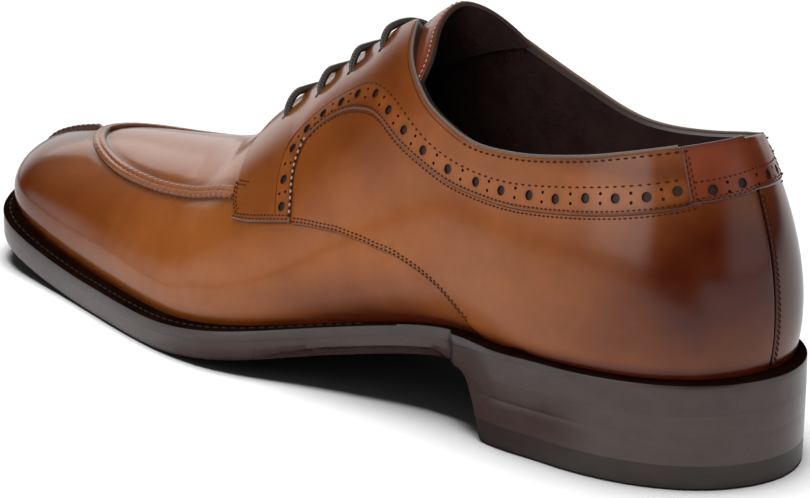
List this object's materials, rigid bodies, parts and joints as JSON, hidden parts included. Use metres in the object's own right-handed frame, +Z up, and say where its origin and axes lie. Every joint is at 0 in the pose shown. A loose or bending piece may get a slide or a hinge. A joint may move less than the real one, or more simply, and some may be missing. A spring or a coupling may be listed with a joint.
{
  "type": "derby shoe",
  "caption": "Left dress derby in burnished tan leather: hollow lasted upper with raised apron seam, punched quarter band, open lacing, welted leather sole and stacked heel.",
  "frame": {"origin": "on the floor under the middle of the shoe's bounding box", "axes": "+Y from heel to toe, +Z up, -X to the outer (lateral) side of this left shoe"},
  "size_m": [0.0992, 0.305, 0.1034],
  "materials": {
    "tan_leather": "polished tan calf, burnished darker at toe and heel",
    "counter_leather": "polished red-brown calf",
    "seam_leather": "polished brown calf with close stitches",
    "lining_leather": "matt dark brown lining",
    "welt_leather": "waxed dark brown",
    "sole_leather": "inked and waxed edge",
    "heel_leather": "inked and waxed stacked lifts",
    "heel_rubber": "satin dark rubber",
    "lace_cord": "waxed round cord"
  },
  "bodies": {
    "root": {"outsole": "sole_leather", "welt": "welt_leather", "heel_stack": "heel_leather", "heel_top_piece": "heel_rubber", "insole": "lining_leather", "upper": "tan_leather", "tongue": "tan_leather", "facing_lateral": "tan_leather", "facing_medial": "tan_leather", "quarter_lateral": "tan_leather", "quarter_medial": "tan_leather", "heel_tab": "counter_leather", "apron_seam": "seam_leather", "toe_seam": "seam_leather", "lace_bar_1": "lace_cord", "lace_bar_2": "lace_cord", "lace_bar_3": "lace_cord", "lace_bar_4": "lace_cord"}
  },
  "joints": []
}
